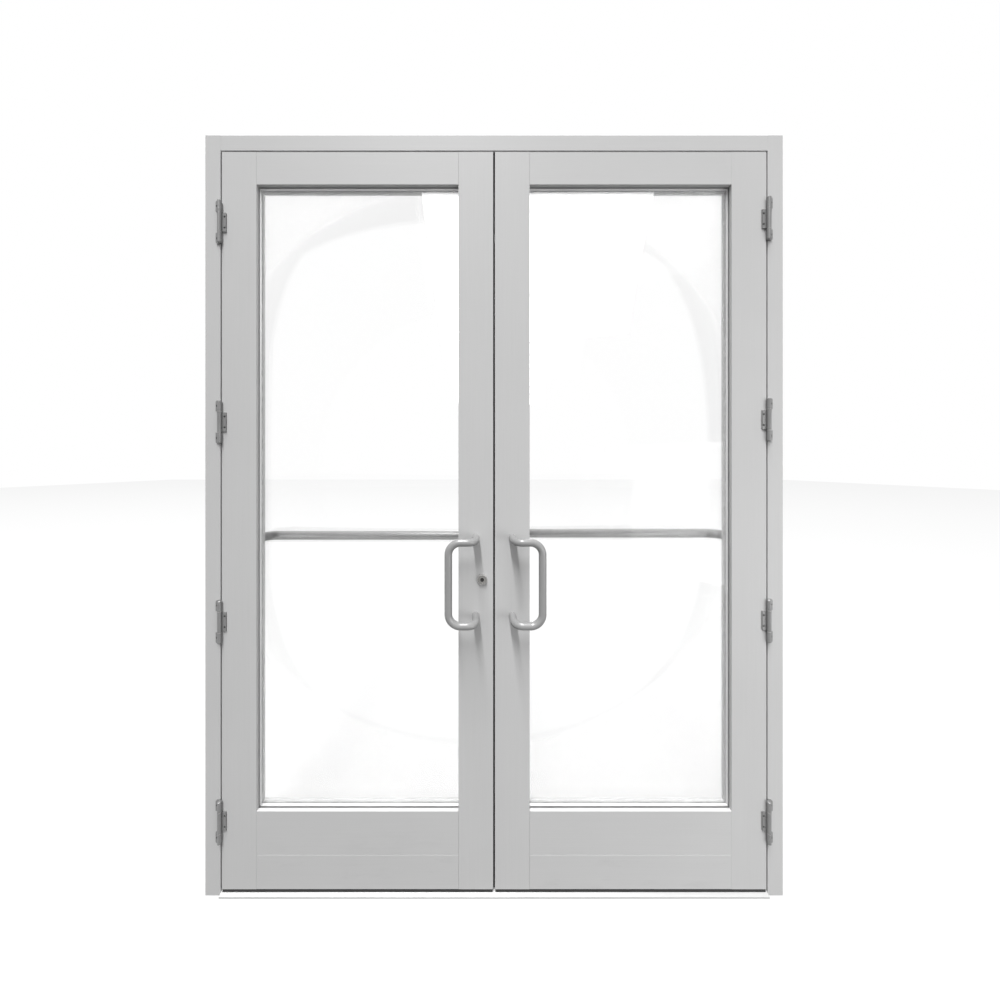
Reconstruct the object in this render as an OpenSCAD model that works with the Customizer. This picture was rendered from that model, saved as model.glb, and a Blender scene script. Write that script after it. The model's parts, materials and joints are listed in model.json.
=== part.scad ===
// Entrance door: a pair of glazed aluminium leaves in a slim aluminium frame, with an
// aluminium threshold. Both leaves swing outward on barrel hinges. The left leaf is the
// active one and carries the lock; the right leaf is held by a top and a bottom bolt.
// Millimetres, Z up, X along the door, Y into the building. The origin lies on the floor,
// at the middle of the opening's width and of the frame's depth.

/* [Frame] */
// Clear width between the jambs
opening_w = 1829; // [1400:1:2300]
// Clear height from the floor to the underside of the head
opening_h = 2489; // [2050:1:3000]
// Width of the jamb and head faces
frame_face = 50.8; // [42:0.1:76]
// Depth of the frame, outside face to inside face
frame_depth = 114.3; // [95:0.1:152]
// Wall of the frame extrusions
frame_wall = 3.2; // [2.5:0.1:4]
// Height of a door stop above the jamb face
stop_h = 16; // [12:0.5:20]
// Length of a door stop along the frame's depth
stop_d = 30; // [24:0.5:45]
// Space for the rubber seal between a stop and the leaf
stop_seal_gap = 3; // [2:0.1:6]

/* [Threshold] */
// Height of the threshold
sill_h = 12.7; // [10:0.1:20]
// How far the threshold stands in front of the frame
sill_front = 8; // [2:0.5:20]
// Depth of the sloped front of the threshold
sill_bevel = 15; // [9:0.5:20]
// Height of the threshold's front and back lips
sill_lip = 5; // [2:0.5:8]

/* [Gaps] */
// Gap between a jamb and its leaf
hinge_gap = 4.5; // [3:0.1:6]
// Gap between the two leaves
meeting_gap = 6; // [5:0.1:9]
// Gap between the head and the leaves
head_gap = 4.5; // [3:0.1:8]
// Gap between the threshold and the leaves
sill_gap = 8; // [4:0.1:14]

/* [Leaves] */
// Thickness of a leaf
leaf_t = 44.5; // [40:0.1:57]
// Width of a stile, edge to glass
stile_w = 116; // [100:0.5:150]
// Height of the top rail, edge to glass
top_rail_h = 109; // [80:0.5:160]
// Height of the lower extrusion of the bottom rail
kick_h = 114.5; // [80:0.5:150]
// Height of the upper extrusion of the bottom rail, to the glass
mid_rail_h = 146; // [80:0.5:180]
// Wall of the leaf extrusions
leaf_wall = 3.2; // [2.5:0.1:4]
// Fine joint between a stile and the end of a rail
rail_joint = 0.3; // [0.1:0.1:1]

/* [Glass] */
// Thickness of one pane
pane_t = 5; // [4:0.5:6]
// Thickness of the spacer between the panes
spacer_t = 9; // [6:0.5:12]
// Thickness of a glazing seal
seal_t = 2.5; // [2:0.1:4]
// Depth of the glass pocket
pocket_d = 18; // [16:0.5:24]
// How far the glass reaches into the pocket
glass_bite = 12.5; // [10:0.5:14]

/* [Hinges] */
// Number of hinges on a leaf
hinge_count = 4; // [3:1:5]
// Height of the lowest hinge's centre above the floor
hinge_low_z = 251; // [180:1:300]
// Distance from the head's underside down to the top hinge's centre
hinge_top_drop = 242; // [180:1:320]
// Extra height of the right leaf's top hinge; its lowest is level with the left leaf's
right_hinge_rise = 11.5; // [0:0.5:20]
// Radius of the hinge barrel
knuckle_r = 6.5; // [6:0.5:12]
// Radius of the hinge pin
pin_r = 4; // [3:0.1:4.8]
// Height of each frame knuckle
ear_h = 36; // [30:1:50]
// Height of the leaf knuckle
mid_knuckle_h = 69; // [50:1:90]
// Height of the leaf wing
leaf_wing_h = 63; // [50:1:90]
// Thickness of the hinge wings
wing_t = 4; // [4:0.5:6]
// Metal left past a screw's recess in a frame wing
ear_rim = 1.2; // [0.6:0.1:8]
// Reach of a leaf wing from the pin's axis
wing_reach = 18.8; // [16:0.1:30]
// Distance between the two screws of a leaf wing
wing_screw_pitch = 36; // [24:1:50]

/* [Pull handles] */
// Radius of the handle's bar
pull_r = 12; // [9:0.1:16]
// Distance between the two legs of a handle
pull_centres = 260; // [200:1:400]
// Height of the handle's middle above the floor
pull_z = 1066; // [900:1:1200]
// Distance from the legs to the glass edge of the stile
pull_back = 58; // [50:1:75]
// Distance from the leaf's face to the bar's middle
pull_out = 71; // [60:1:100]
// Sideways offset of the grip from the legs
pull_offset = 86; // [75:1:120]

/* [Push bars] */
// Radius of a push bar
bar_r = 15.9; // [12:0.1:20]
// Height of the left push bar above the floor
bar_z = 1180; // [1140:1:1260]
// Extra height of the right push bar
right_bar_rise = 8; // [0:1:20]
// Distance from the leaf's inside face to the bar's middle
bar_out = 60; // [50:1:90]

/* [Lock] */
// Height of the lock cylinder above the floor
lock_z = 1057; // [1020:1:1090]
// Distance from the meeting edge to the cylinder's middle
backset = 37; // [35:0.5:45]
// Radius of the lock cylinder
cylinder_r = 14.6; // [12:0.1:15]
// Length of the swinging bolt from its pivot
bolt_reach = 42; // [36:0.5:48]
// Travel of the top and bottom bolts
bolt_throw = 18; // [16:0.5:18]
// Radius of the top and bottom bolt rods
rod_r = 6.35; // [5:0.05:7]

/* [Hidden] */
$fn = 64;
over = 1;                                  // how far a cut runs past a face
slide_fit = 0.07;                          // radial clearance of a sliding rod
turn_fit = 0.05;                           // radial clearance of a turning fit
edge_cut = 0.6;                            // chamfer on the extrusions' outer corners

face_y = -frame_depth/2;                   // outside face of the frame and of the leaves
jamb_x = opening_w/2;                      // inner face of a jamb, from the middle
leaf_w = (opening_w - 2*hinge_gap - meeting_gap)/2;
leaf_z = sill_h + sill_gap;                // underside of a leaf
leaf_h = opening_h - head_gap - leaf_z;
tube_w = stile_w - pocket_d;               // hollow part of a stile
bottom_rail_h = kick_h + mid_rail_h;
glass_t = 2*pane_t + spacer_t;
nose_d = (leaf_t - glass_t)/2 - seal_t;    // depth of the lip and of the stop beside the glass
mid_y = leaf_t/2;                          // middle of a leaf's thickness

hinge_top_z = opening_h - hinge_top_drop;
hinge_pitch = (hinge_top_z - hinge_low_z)/(hinge_count - 1);
hinge_stand = knuckle_r;                   // pin's axis in front of the leaf's face
washer_t = 1;                              // flange of a hinge bush
knuckle_gap = washer_t + 0.2;
ear_z = mid_knuckle_h/2 + knuckle_gap;     // start of a frame knuckle from the hinge's centre
bush_wall = 1.2;
bush_r = pin_r + turn_fit/2 + bush_wall;
knuckle_cap = 3;                           // cone on a frame knuckle's outer end
pin_inset = 5;                             // closed end left on a frame knuckle
wing_clear = 1;                            // a wing stops short of the pin's axis by this
screw_r = 2.4;
screw_head_r = 3.7;
screw_head_h = 2;
wing_screw_r = 2;
wing_screw_head_r = 3.1;
wing_screw_head_h = 1.6;
head_fit = 0.3;                            // a recess round a wing screw's head
screw_sink = 2.8;                          // depth of that recess
recess_r = wing_screw_head_r + head_fit;
ear_screw_in = knuckle_r + recess_r + 0.5; // a frame wing's screws from the pin's axis
ear_reach = ear_screw_in + recess_r + ear_rim;
leaf_screw_in = wing_reach - recess_r - 0.8;
plate_t = 5;                               // nut plates behind the walls
plate_fit = 0.3;                           // their edge from the next wall

anchor_y = face_y + leaf_t + stop_seal_gap + stop_d/2;
anchor_r = 4.75;
anchor_access_r = 9;
anchor_low_z = 320;
anchor_rows = 4;
anchor_pitch = (opening_h - 2*anchor_low_z)/(anchor_rows - 1);
head_anchor_x = [opening_w/8, 3*opening_w/8];
sill_anchor_x = [opening_w/6, 0.44*opening_w];
port_r = 2.5;                              // screw ports in the head extrusion
port_wall = 2.2;
port_in = frame_wall + screw_head_r + 0.4; // a port's middle from the extrusion's faces
rod_in = 20;                               // bolt rods from the leaf's meeting edge
bolt_x = meeting_gap/2 + rod_in;           // the same from the door's middle

light = [0.77, 0.77, 0.77];
hinge_grey = [0.66, 0.66, 0.66];
satin = [0.80, 0.80, 0.80];
steel = [0.70, 0.70, 0.72];
rubber = [0.13, 0.13, 0.13];
mill = [0.86, 0.86, 0.85];
clear_glass = [0.80, 0.90, 0.88, 0.35];
nylon = [0.92, 0.92, 0.90];

// ---- places and shared shapes --------------------------------------------------------

// a leaf's own frame: X from the hinge edge, Y from the outside face, Z from its underside
module at_left_leaf() {
    translate([-jamb_x + hinge_gap, face_y, leaf_z]) children();
}

module at_right_leaf() {
    mirror([1, 0, 0]) at_left_leaf() children();
}

// the middle of each hinge on the pin's axis, in the middle of the gap at the jamb, left
// side; the top one raised by rise, the ones between in proportion
module at_hinges(rise) {
    pitch = hinge_pitch + rise/(hinge_count - 1);
    for (k = [0 : hinge_count - 1])
        translate([-jamb_x + hinge_gap/2, face_y - hinge_stand, hinge_low_z + k*pitch]) children();
}

// both sides of the frame, with the right side's hinges raised
module both_sides_hinges() {
    at_hinges(0) children();
    mirror([1, 0, 0]) at_hinges(right_hinge_rise) children();
}

// a profile drawn as (depth, height), extruded along X
module along_x(length) {
    rotate([90, 0, 90]) linear_extrude(length) children();
}

// a shape drawn along Z, turned to run along +Y
module along_y() {
    rotate([-90, 0, 0]) children();
}

// a rectangle with small cut corners
module cut_square(w, d, c) {
    polygon([[c, 0], [w - c, 0], [w, c], [w, d - c], [w - c, d], [c, d], [0, d - c], [0, c]]);
}

// a rectangular tube's section
module tube_2d(w, d, wall) {
    difference() {
        cut_square(w, d, edge_cut);
        translate([wall, wall]) square([w - 2*wall, d - 2*wall]);
    }
}

// a cylinder wall from z = 0 to h
module ring(r_out, r_in, h) {
    difference() {
        cylinder(r = r_out, h = h);
        translate([0, 0, -over]) cylinder(r = r_in, h = h + 2*over);
    }
}

// a socket screw along +Y: head from y = 0, then the shank
module socket_screw(shank_r, head_r, head_h, length) {
    along_y() difference() {
        union() {
            cylinder(r = head_r, h = head_h);
            cylinder(r = shank_r, h = head_h + length);
        }
        translate([0, 0, -over]) cylinder(r = head_r*0.48, h = over + head_h*0.55, $fn = 6);
    }
}

// ---- frame ---------------------------------------------------------------------------

module jamb(rise) {
    height = opening_h + frame_face;
    difference() {
        translate([-jamb_x - frame_face, face_y, 0])
            linear_extrude(height) tube_2d(frame_face, frame_depth, frame_wall);
        for (k = [0 : anchor_rows - 1])
            translate([-jamb_x, anchor_y, anchor_low_z + k*anchor_pitch])
                rotate([0, -90, 0]) {
                    translate([0, 0, -over]) cylinder(r = anchor_access_r, h = frame_wall + 2*over);
                    cylinder(r = anchor_r, h = frame_face + over);
                }
        at_head_ports() {
            translate([0, 0, -over]) cylinder(r = screw_r + 0.2, h = frame_wall + 2*over);
            translate([0, 0, frame_face/2]) cylinder(r = screw_head_r + 0.6, h = frame_face);
        }
        at_hinges(rise) frame_screw_places()
            along_y() cylinder(r = wing_screw_r + 0.1, h = hinge_stand + frame_wall + over);
    }
}

module left_jamb() {
    color(light) jamb(0);
}

module right_jamb() {
    color(light) mirror([1, 0, 0]) jamb(right_hinge_rise);
}

// the screw ports at the left end of the head, Z pointing out through the jamb
module at_head_ports() {
    for (y = [face_y + port_in, -face_y - port_in], z = [port_in, frame_face - port_in])
        translate([-jamb_x, y, opening_h + z]) rotate([0, -90, 0]) children();
}

module head_2d() {
    difference() {
        union() {
            tube_2d(frame_depth, frame_face, frame_wall);
            for (y = [port_in, frame_depth - port_in], z = [port_in, frame_face - port_in])
                translate([y, z]) circle(port_r + port_wall);
        }
        for (y = [port_in, frame_depth - port_in], z = [port_in, frame_face - port_in])
            translate([y, z]) circle(port_r);
    }
}

module head() {
    color(light) difference() {
        translate([-jamb_x, face_y, opening_h]) along_x(opening_w) head_2d();
        for (x = head_anchor_x, side = [-1, 1])
            translate([side*x, anchor_y, opening_h]) {
                translate([0, 0, -over]) cylinder(r = anchor_access_r, h = frame_wall + 2*over);
                cylinder(r = anchor_r, h = frame_face + over);
            }
        translate([bolt_x, face_y + mid_y, opening_h - over])
            cylinder(r = rod_r + 1.6, h = frame_wall + 2*over);
        at_head_strike() for (side = [-1, 1])
            translate([side*strike_screw_x, 0, -frame_wall - over])
                cylinder(r = screw_r, h = frame_wall + over);
    }
}

strike_len = 70;
strike_w = 20;
strike_t = 3;
strike_screw_x = 26;

// on the inside of the head's lower wall, above the rod
module at_head_strike() {
    translate([bolt_x, face_y + mid_y, opening_h + frame_wall]) children();
}

module head_bolt_strike() {
    color(steel) at_head_strike() difference() {
        translate([-strike_len/2, -strike_w/2, 0]) cube([strike_len, strike_w, strike_t]);
        translate([0, 0, -over]) cylinder(r = rod_r + 1.2, h = strike_t + 2*over);
        for (side = [-1, 1])
            translate([side*strike_screw_x, 0, -over]) cylinder(r = screw_r, h = strike_t + 2*over);
    }
}

// screws that hold the head between the jambs, and the strike's two screws from below
module head_screws() {
    length = 24;
    color(steel) {
        for (side = [0, 1]) mirror([side, 0, 0]) at_head_ports()
            translate([0, 0, frame_wall]) difference() {
                union() {
                    cylinder(r = screw_head_r, h = screw_head_h);
                    translate([0, 0, -frame_wall - length])
                        cylinder(r = port_r - 0.1, h = frame_wall + length);
                }
                translate([0, 0, screw_head_h*0.45])
                    cylinder(r = screw_head_r*0.48, h = screw_head_h, $fn = 6);
            }
        at_head_strike() for (side = [-1, 1])
            translate([side*strike_screw_x, 0, -frame_wall]) {
                translate([0, 0, -1.5]) cylinder(r = screw_head_r, h = 1.5);
                cylinder(r = screw_r - 0.05, h = frame_wall + strike_t + 1);
            }
    }
}

seal_slot = 4;                             // width of the groove that holds a stop's seal
seal_slot_d = 4;
stop_wall = 1.8;
stop_y = leaf_t + stop_seal_gap;           // a stop's outer face, from the frame's face

// section of a door stop as (depth, height above the jamb), with its seal groove
module stop_2d() {
    groove_h = stop_h/2 - seal_slot/2;
    difference() {
        cut_square(stop_d, stop_h, edge_cut);
        translate([seal_slot_d + stop_wall, stop_wall])
            square([stop_d - seal_slot_d - 2*stop_wall, stop_h - 2*stop_wall]);
        translate([-over, groove_h]) square([seal_slot_d + over, seal_slot]);
    }
}

// section of the seal: a stem in the groove and a rounded bead towards the leaf
module seal_2d() {
    bead_r = 5;
    bead_d = stop_seal_gap - 0.4;
    root = 0.5;
    translate([-root, stop_h/2 - seal_slot/2 + 0.1])
        square([seal_slot_d + root - 0.3, seal_slot - 0.2]);
    translate([0, stop_h/2]) intersection() {
        circle(bead_r);
        translate([-bead_d, -bead_r]) square([bead_d, 2*bead_r]);
    }
}

// a jamb-side profile stood upright on the left jamb's face, from the threshold to the head
module on_left_jamb() {
    translate([-jamb_x, face_y + stop_y, sill_h])
        linear_extrude(opening_h - sill_h)
            rotate(90) mirror([0, 1]) children();
}

// the same profile hung under the head, between the jamb stops
module under_head() {
    translate([-jamb_x + stop_h + rail_joint, face_y + stop_y, opening_h])
        mirror([0, 0, 1]) along_x(opening_w - 2*(stop_h + rail_joint)) children();
}

module door_stops() {
    color(light) {
        on_left_jamb() stop_2d();
        mirror([1, 0, 0]) on_left_jamb() stop_2d();
        under_head() stop_2d();
    }
}

module stop_seals() {
    color(rubber) {
        on_left_jamb() seal_2d();
        mirror([1, 0, 0]) on_left_jamb() seal_2d();
        under_head() seal_2d();
    }
}

sill_fit = 0.5;                            // end clearance of the threshold at each jamb
sill_skin = 4.2;
sill_back_bevel = 10;
flute_w = 3;
flute_d = 1.1;
flute_pitch = 8;
flat_band = 20;                            // plain strip along the screws
rib_w = 3;
screw_rib_w = 16;                          // solid rib under the screws, on the origin
bay_count = 2;                             // hollows each side of that rib

module sill_2d() {
    front = -frame_depth/2 - sill_front;
    back = frame_depth/2;
    flat_front = front + sill_bevel;
    flat_back = back - sill_back_bevel;
    difference() {
        polygon([[front, 0], [front, sill_lip], [flat_front, sill_h], [flat_back, sill_h],
            [back, sill_lip], [back, 0]]);
        hollows(screw_rib_w/2, flat_back - rib_w);
        mirror([1, 0]) hollows(screw_rib_w/2, -flat_front - rib_w);
        flutes(flat_back);
        mirror([1, 0]) flutes(-flat_front);
    }
}

// hollows of the underside between y = from and y = to
module hollows(from, to) {
    pitch = (to - from + rib_w)/bay_count;
    for (k = [0 : bay_count - 1])
        translate([from + k*pitch, -over]) square([pitch - rib_w, sill_h - sill_skin + over]);
}

// fine grooves of the tread, from the plain strip to y = to
module flutes(to) {
    for (y = [flat_band/2 : flute_pitch : to - flute_w])
        translate([y, sill_h - flute_d]) square([flute_w, flute_d + over]);
}

sill_screw_r = 3.3;

module threshold() {
    color(mill) difference() {
        translate([-jamb_x + sill_fit, 0, 0]) along_x(opening_w - 2*sill_fit) sill_2d();
        translate([bolt_x, face_y + mid_y, -over]) cylinder(r = rod_r + 1.6, h = sill_h + 2*over);
        for (x = sill_anchor_x, side = [-1, 1])
            translate([side*x, 0, 0]) {
                translate([0, 0, -over]) cylinder(r = sill_screw_r, h = sill_h + 2*over);
                translate([0, 0, sill_h - 1.9])
                    cylinder(r1 = sill_screw_r, r2 = sill_screw_r + 2.9, h = 2.9);
            }
    }
}

// ---- hinges --------------------------------------------------------------------------

// middle of the screw of each frame wing, from the hinge's centre, at the wing's outer face
module frame_screw_places() {
    for (end = [-1, 1])
        translate([-ear_screw_in, hinge_stand - wing_t, end*(ear_z + ear_h/2)]) children();
}

module leaf_screw_places() {
    for (end = [-1, 1])
        translate([leaf_screw_in, hinge_stand - wing_t, end*wing_screw_pitch/2]) children();
}

module screw_recess() {
    along_y() {
        translate([0, 0, -over]) cylinder(r = recess_r, h = screw_sink + over);
        cylinder(r = wing_screw_r + 0.1, h = wing_t + over);
    }
}

// a frame knuckle with its wing, seen from the front: the outer end's corner is round
module ear() {
    corner_r = 6;
    difference() {
        union() {
            cylinder(r = knuckle_r, h = ear_h - knuckle_cap);
            translate([0, 0, ear_h - knuckle_cap])
                cylinder(r1 = knuckle_r, r2 = knuckle_r - knuckle_cap, h = knuckle_cap);
            translate([-ear_reach, hinge_stand, 0]) rotate([90, 0, 0]) linear_extrude(wing_t)
                difference() {
                    square([ear_reach - wing_clear, ear_h]);
                    translate([0, ear_h - corner_r]) difference() {
                        translate([-over, 0]) square([corner_r + over, corner_r + over]);
                        translate([corner_r, 0]) circle(corner_r);
                    }
                }
        }
        translate([0, 0, -over]) cylinder(r = pin_r + turn_fit/2, h = ear_h - pin_inset + over);
    }
}

module frame_hinge_knuckles() {
    color(hinge_grey) both_sides_hinges() difference() {
        union() {
            translate([0, 0, ear_z]) ear();
            mirror([0, 0, 1]) translate([0, 0, ear_z]) ear();
        }
        frame_screw_places() screw_recess();
    }
}

module leaf_knuckles(rise) {
    at_hinges(rise) difference() {
        union() {
            translate([0, 0, -mid_knuckle_h/2]) cylinder(r = knuckle_r, h = mid_knuckle_h);
            translate([wing_clear, hinge_stand - wing_t, -leaf_wing_h/2])
                cube([wing_reach - wing_clear, wing_t, leaf_wing_h]);
        }
        translate([0, 0, -mid_knuckle_h/2 - over])
            cylinder(r = bush_r + turn_fit, h = mid_knuckle_h + 2*over);
        leaf_screw_places() screw_recess();
    }
}

module left_leaf_knuckles() {
    color(hinge_grey) leaf_knuckles(0);
}

module right_leaf_knuckles() {
    color(hinge_grey) mirror([1, 0, 0]) leaf_knuckles(right_hinge_rise);
}

module hinge_pins() {
    half = ear_z + ear_h - pin_inset - 0.5;
    color(steel) both_sides_hinges()
        translate([0, 0, -half]) cylinder(r = pin_r, h = 2*half);
}

// nylon sleeves on the pin, each with a thin flange between two knuckles
module hinge_bushes() {
    sleeve_h = mid_knuckle_h*0.42;
    color(nylon) both_sides_hinges() for (end = [0, 1]) mirror([0, 0, end])
        translate([0, 0, mid_knuckle_h/2 - sleeve_h]) difference() {
            union() {
                cylinder(r = bush_r, h = sleeve_h + 0.1 + washer_t);
                translate([0, 0, sleeve_h + 0.1]) cylinder(r = knuckle_r - 0.4, h = washer_t);
            }
            translate([0, 0, -over])
                cylinder(r = pin_r + turn_fit/2, h = sleeve_h + washer_t + 2*over);
        }
}

// a hinge screw runs through its wing, the extrusion's wall and the nut plate
module hinge_screw(wall) {
    floor_t = wing_t - screw_sink;
    translate([0, screw_sink - wing_screw_head_h, 0])
        socket_screw(wing_screw_r, wing_screw_head_r, wing_screw_head_h, floor_t + wall + plate_t + 1);
}

module frame_hinge_screws() {
    color(steel) both_sides_hinges() frame_screw_places() hinge_screw(frame_wall);
}

module frame_nut_plates() {
    height = 2*(ear_z + ear_h);
    width = 16;
    color(steel) both_sides_hinges() difference() {
        translate([-hinge_gap/2 - frame_wall - plate_fit - width, hinge_stand + frame_wall, -height/2])
            cube([width, plate_t, height]);
        frame_screw_places() along_y() cylinder(r = wing_screw_r + 0.05, h = hinge_stand + 4*plate_t);
    }
}

module leaf_nut_plates(rise) {
    height = leaf_wing_h + 6;
    width = 22;
    at_hinges(rise) difference() {
        translate([hinge_gap/2 + leaf_wall + plate_fit, hinge_stand + leaf_wall, -height/2])
            cube([width, plate_t, height]);
        leaf_screw_places() along_y() cylinder(r = wing_screw_r + 0.05, h = hinge_stand + 4*plate_t);
    }
}

module left_nut_plates() {
    color(steel) leaf_nut_plates(0);
}

module right_nut_plates() {
    color(steel) mirror([1, 0, 0]) leaf_nut_plates(right_hinge_rise);
}

// hinge screws and push-bar screws of one leaf
module leaf_screws(hinge_rise, bar_rise) {
    at_hinges(hinge_rise) leaf_screw_places() hinge_screw(leaf_wall);
    translate([-jamb_x + hinge_gap, face_y, leaf_z]) bar_screw_places(bar_rise)
        mirror([0, 1, 0]) socket_screw(screw_r, bar_screw_head_r, 2.5, foot_t + leaf_wall + 6);
}

module left_leaf_screws() {
    color(steel) leaf_screws(0, 0);
}

module right_leaf_screws() {
    color(steel) mirror([1, 0, 0]) leaf_screws(right_hinge_rise, right_bar_rise);
}

// ---- leaf extrusions -----------------------------------------------------------------

// section of a stile or rail as (width w, depth): a tube, and beside it a hollow lip that
// covers the edge of the glass on the outside
module lipped_2d(w) {
    c = edge_cut;
    tube = w - pocket_d;
    lip_wall = 2.2;
    difference() {
        polygon([[c, 0], [w - c, 0], [w, c], [w, nose_d], [tube, nose_d], [tube, leaf_t - c],
            [tube - c, leaf_t], [c, leaf_t], [0, leaf_t - c], [0, c]]);
        translate([leaf_wall, leaf_wall]) square([tube - 2*leaf_wall, leaf_t - 2*leaf_wall]);
        translate([tube, lip_wall]) square([pocket_d - lip_wall, nose_d - 2*lip_wall]);
    }
}

// a section given as (width, depth) extruded along X, its width upwards
module rail_along_x(length) {
    along_x(length) mirror([1, -1]) children();
}

// cuts a rail's ends back to fit beside the stiles' lips
module fit_between_stiles() {
    difference() {
        translate([tube_w, 0, 0]) children();
        for (x = [tube_w - over, leaf_w - stile_w - rail_joint])
            translate([x, -over, -over])
                cube([pocket_d + over + rail_joint, nose_d + over + rail_joint, leaf_h + 2*over]);
    }
}

rail_len = leaf_w - 2*tube_w;
top_tube_h = top_rail_h - pocket_d;
mid_tube_h = mid_rail_h - pocket_d;
kick_tube_h = kick_h - rail_joint;

// height of each tie rod in a leaf
tie_z = [kick_tube_h/2, kick_h + mid_tube_h/2, leaf_h - top_tube_h/2];
tie_r = 4.75;
tie_nut_r = 8.5;
tie_nut_h = 8;
tie_washer_r = 10;
tie_washer_t = 2;
tie_access_r = tie_washer_r + 2;           // hole in the stile's edge that lets the nut in

module tie_holes() {
    for (z = tie_z)
        translate([tube_w - leaf_wall - over, mid_y, z])
            rotate([0, 90, 0]) cylinder(r = tie_r + 0.4, h = leaf_wall + 2*over);
}

module hinge_stile(hinge_rise, bar_rise) {
    difference() {
        linear_extrude(leaf_h) lipped_2d(stile_w);
        tie_holes();
        for (z = tie_z)
            translate([-over, mid_y, z]) rotate([0, 90, 0]) cylinder(r = tie_access_r, h = leaf_wall + 2*over);
        translate([jamb_x - hinge_gap, -face_y, -leaf_z]) at_hinges(hinge_rise) leaf_screw_places()
            along_y() cylinder(r = wing_screw_r + 0.1, h = hinge_stand + leaf_wall);
        bar_holes(bar_rise);
    }
}

// the stile at the meeting edge, before its own cut-outs
module plain_meeting_stile(rise) {
    difference() {
        translate([leaf_w, 0, 0]) mirror([1, 0, 0]) linear_extrude(leaf_h) lipped_2d(stile_w);
        translate([leaf_w, 0, 0]) mirror([1, 0, 0]) tie_holes();
        for (z = pull_leg_z)
            translate([leaf_w - pull_in, -over, z - leaf_z])
                along_y() cylinder(r = pull_bolt_r + 0.3, h = leaf_t + 2*over);
        bar_holes(rise);
    }
}

module top_rail() {
    translate([0, 0, leaf_h]) mirror([0, 0, 1])
        fit_between_stiles() rail_along_x(rail_len) lipped_2d(top_rail_h);
}

// two extrusions, one on the other
module bottom_rail() {
    fit_between_stiles() rail_along_x(rail_len)
        tube_2d(kick_tube_h, leaf_t, leaf_wall);
    translate([0, 0, kick_h])
        fit_between_stiles() rail_along_x(rail_len) lipped_2d(mid_rail_h);
}

// a shear block in the end of a rail, behind the stile's lip: a short tube closed by the
// plate that the tie rod pulls on
module corner_block(h) {
    length = 50;
    wall = 5;
    fit = 0.2;
    front = nose_d + rail_joint + fit;
    d = leaf_t - leaf_wall - fit - front;
    inner_h = h - 2*leaf_wall - 2*fit;
    translate([0, front, -inner_h/2]) difference() {
        cube([length, d, inner_h]);
        translate([wall, wall, wall]) cube([length, d - 2*wall, inner_h - 2*wall]);
        translate([-over, mid_y - front, inner_h/2]) rotate([0, 90, 0])
            cylinder(r = tie_r + 0.4, h = wall + 2*over);
    }
}

module corner_blocks() {
    heights = [kick_tube_h, mid_tube_h, top_tube_h];
    for (k = [0 : 2]) {
        translate([tube_w, 0, tie_z[k]]) corner_block(heights[k]);
        translate([leaf_w - tube_w, 0, tie_z[k]]) mirror([1, 0, 0]) corner_block(heights[k]);
    }
}

// a threaded rod through each rail, with a washer and a nut inside each stile
module tie_rods() {
    grip = rail_len + 2*leaf_wall;
    tail = tie_washer_t + tie_nut_h + 4;
    for (z = tie_z) translate([tube_w - leaf_wall, mid_y, z]) rotate([0, 90, 0]) {
        translate([0, 0, -tail]) cylinder(r = tie_r, h = grip + 2*tail);
        for (end = [0, 1]) translate([0, 0, end*grip]) mirror([0, 0, 1 - end]) {
            ring(tie_washer_r, tie_r + 0.1, tie_washer_t);
            translate([0, 0, tie_washer_t]) difference() {
                cylinder(r = tie_nut_r, h = tie_nut_h, $fn = 6);
                translate([0, 0, -over]) cylinder(r = tie_r + 0.05, h = tie_nut_h + 2*over);
            }
        }
    }
}

module left_hinge_stile() {
    color(light) at_left_leaf() hinge_stile(0, 0);
}

module left_lock_stile() {
    color(light) at_left_leaf() difference() {
        plain_meeting_stile(0);
        edge_plate_cut(lock_plate_z, lock_plate_h);
        translate([leaf_w - backset, -over, lock_z - leaf_z]) along_y()
            cylinder(r = cylinder_r + 0.2, h = leaf_t + 2*over);
        translate([leaf_w - leaf_wall - over, mid_y - case_t/2 - 0.2, case_z - leaf_z - 0.2])
            cube([leaf_wall + 2*over, case_t + 0.4, case_h + 0.4]);
        translate([leaf_w - pile_base_d, pile_y - pile_base_w/2, -over])
            cube([pile_base_d + over, pile_base_w, leaf_h + 2*over]);
    }
}

module left_top_rail() {
    color(light) at_left_leaf() top_rail();
}

module left_bottom_rail() {
    color(light) at_left_leaf() bottom_rail();
}

module left_corner_blocks() {
    color(mill) at_left_leaf() corner_blocks();
}

module left_tie_rods() {
    color(steel) at_left_leaf() tie_rods();
}

module right_hinge_stile() {
    color(light) at_right_leaf() hinge_stile(right_hinge_rise, right_bar_rise);
}

module right_meeting_stile() {
    color(light) at_right_leaf() difference() {
        plain_meeting_stile(right_bar_rise);
        edge_plate_cut(strike_plate_z, strike_plate_h);
        translate([leaf_w - leaf_wall - over, mid_y - bolt_slot_w/2 - 1, slot_low_z - leaf_z - 1])
            cube([leaf_wall + 2*over, bolt_slot_w + 2, slot_high_z - slot_low_z + 2]);
        for (z = flush_z) {
            edge_plate_cut(z, flush_plate_h);
            translate([leaf_w - leaf_wall - over, mid_y - tab_w/2 - 2, z + flush_plate_h/2
                - leaf_z - tab_slot_h/2 - 2])
                cube([leaf_wall + 2*over, tab_w + 4, tab_slot_h + 4]);
        }
    }
}

module right_top_rail() {
    color(light) at_right_leaf() top_rail();
}

module right_bottom_rail() {
    color(light) at_right_leaf() bottom_rail();
}

module right_corner_blocks() {
    color(mill) at_right_leaf() corner_blocks();
}

module right_tie_rods() {
    color(steel) at_right_leaf() tie_rods();
}

// ---- glass ---------------------------------------------------------------------------

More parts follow.
